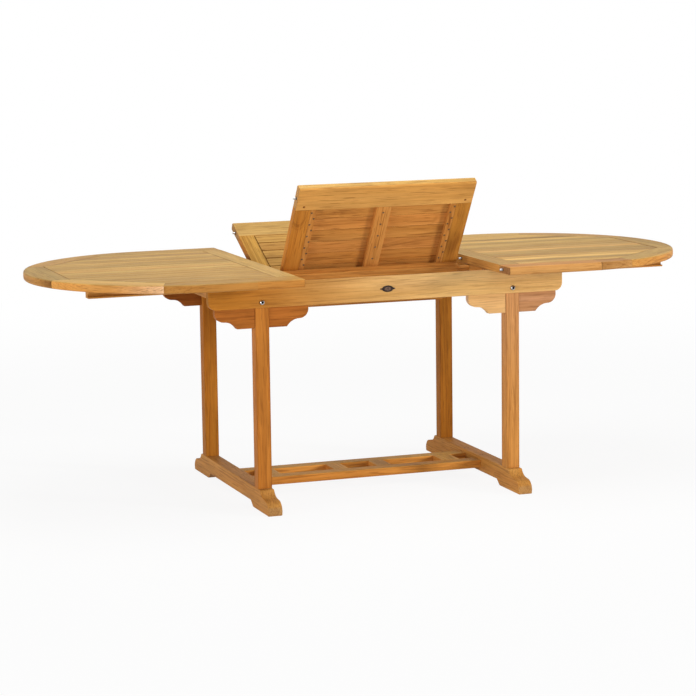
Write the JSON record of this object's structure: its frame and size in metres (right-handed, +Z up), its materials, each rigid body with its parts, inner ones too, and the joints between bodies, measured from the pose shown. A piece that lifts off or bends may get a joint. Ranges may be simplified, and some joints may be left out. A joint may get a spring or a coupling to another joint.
{
  "type": "extending table",
  "caption": "Oval slatted wooden dining table on sled feet; the halves of its top slide apart and a leaf hinged along its own middle swings up and unfolds into the gap.",
  "frame": {"origin": "on the floor, under the middle of the top", "axes": "+X along the table to the right, +Y to the back, +Z up"},
  "size_m": [2.226, 0.99, 1.0351],
  "materials": {
    "top_teak": "satin",
    "leaf_teak": "satin",
    "frame_teak": "satin",
    "pin_steel": "polished",
    "hinge_brass": "satin"
  },
  "bodies": {
    "frame": {"apron_back": "frame_teak", "apron_bolts": "pin_steel", "apron_front": "frame_teak", "apron_nuts": "pin_steel", "bracket_back_left": "frame_teak", "bracket_back_right": "frame_teak", "bracket_front_left": "frame_teak", "bracket_front_right": "frame_teak", "end_rail_left": "frame_teak", "end_rail_right": "frame_teak", "foot_left": "frame_teak", "foot_right": "frame_teak", "leg_back_left": "frame_teak", "leg_back_right": "frame_teak", "leg_front_left": "frame_teak", "leg_front_right": "frame_teak", "pivot_rail_left": "frame_teak", "pivot_rail_right": "frame_teak", "slide_guides": "frame_teak", "stretcher_back": "frame_teak", "stretcher_front": "frame_teak", "stretcher_rungs": "frame_teak"},
    "half_left": {"battens_left": "top_teak", "corner_back_left": "top_teak", "corner_front_left": "top_teak", "end_board_left": "top_teak", "inner_rail_left": "top_teak", "rim_back_left": "top_teak", "rim_front_left": "top_teak", "runners_left": "top_teak", "slats_left": "top_teak"},
    "half_right": {"battens_right": "top_teak", "corner_back_right": "top_teak", "corner_front_right": "top_teak", "end_board_right": "top_teak", "inner_rail_right": "top_teak", "locating_pins_right": "pin_steel", "rim_back_right": "top_teak", "rim_front_right": "top_teak", "runners_right": "top_teak", "slats_right": "top_teak"},
    "leaf_front": {"hinge_front": "hinge_brass", "leaf_front_battens": "leaf_teak", "leaf_front_hinge_rail": "leaf_teak", "leaf_front_outer_rail": "leaf_teak", "leaf_front_pins": "pin_steel", "leaf_front_slats": "leaf_teak", "leaf_front_stile_left": "leaf_teak", "leaf_front_stile_right": "leaf_teak", "leaf_pivot_bar": "leaf_teak"},
    "leaf_back": {"hinge_back": "hinge_brass", "leaf_back_battens": "leaf_teak", "leaf_back_hinge_rail": "leaf_teak", "leaf_back_outer_rail": "leaf_teak", "leaf_back_pins": "pin_steel", "leaf_back_slats": "leaf_teak", "leaf_back_stile_left": "leaf_teak", "leaf_back_stile_right": "leaf_teak"}
  },
  "joints": [
    {"name": "slide_left", "type": "slide", "parent": "frame", "child": "half_left", "axis": [1, 0, 0], "range_m": [0, 0.042]},
    {"name": "slide_right", "type": "slide", "parent": "frame", "child": "half_right", "axis": [-1, 0, 0], "range_m": [0, 0.042]},
    {"name": "leaf_turn", "type": "hinge", "parent": "frame", "child": "leaf_front", "pos_m": [0, -0.14, 0.7215], "axis": [-1, 0, 0], "range_deg": [-56, 52]},
    {"name": "leaf_fold", "type": "hinge", "parent": "leaf_front", "child": "leaf_back", "pos_m": [0, -0.0293, 0.6273], "axis": [1, 0, 0], "range_deg": [-83, 77.1]}
  ],
  "couplings": [
    {"joint": "leaf_fold", "follows": "leaf_turn", "ratio": 1.4821}
  ]
}
